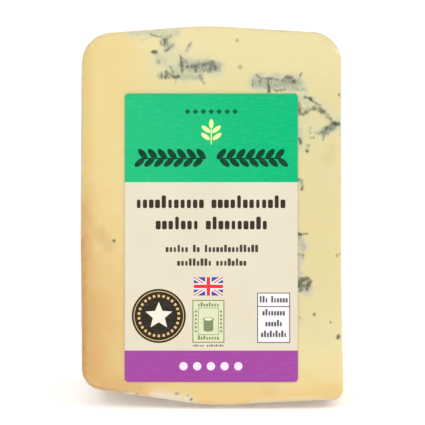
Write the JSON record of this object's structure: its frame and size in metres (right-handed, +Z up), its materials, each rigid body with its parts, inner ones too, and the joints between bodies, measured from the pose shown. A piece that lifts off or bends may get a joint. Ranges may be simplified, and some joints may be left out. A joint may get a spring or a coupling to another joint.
{
  "type": "stilton wedge",
  "caption": "Wedge of blue-veined cheese sealed in tight clear film, with a printed paper label on one cut face, standing on its crust with the thin edge up.",
  "frame": {"origin": "centre of the bounding box at floor level, under the crust that the wedge stands on", "axes": "+Z up, from the thick crust end to the thin tip; the labelled cut face looks towards -Y and leans back; +X runs from the end crust to the sawn side"},
  "size_m": [0.0734, 0.0436, 0.1046],
  "materials": {
    "wrapped_cheese": "pale yellow blue-veined cheese under tight clear film",
    "label_paper": "printed coated paper"
  },
  "bodies": {
    "root": {"wrapped_wedge": "wrapped_cheese", "label": "label_paper"}
  },
  "joints": []
}
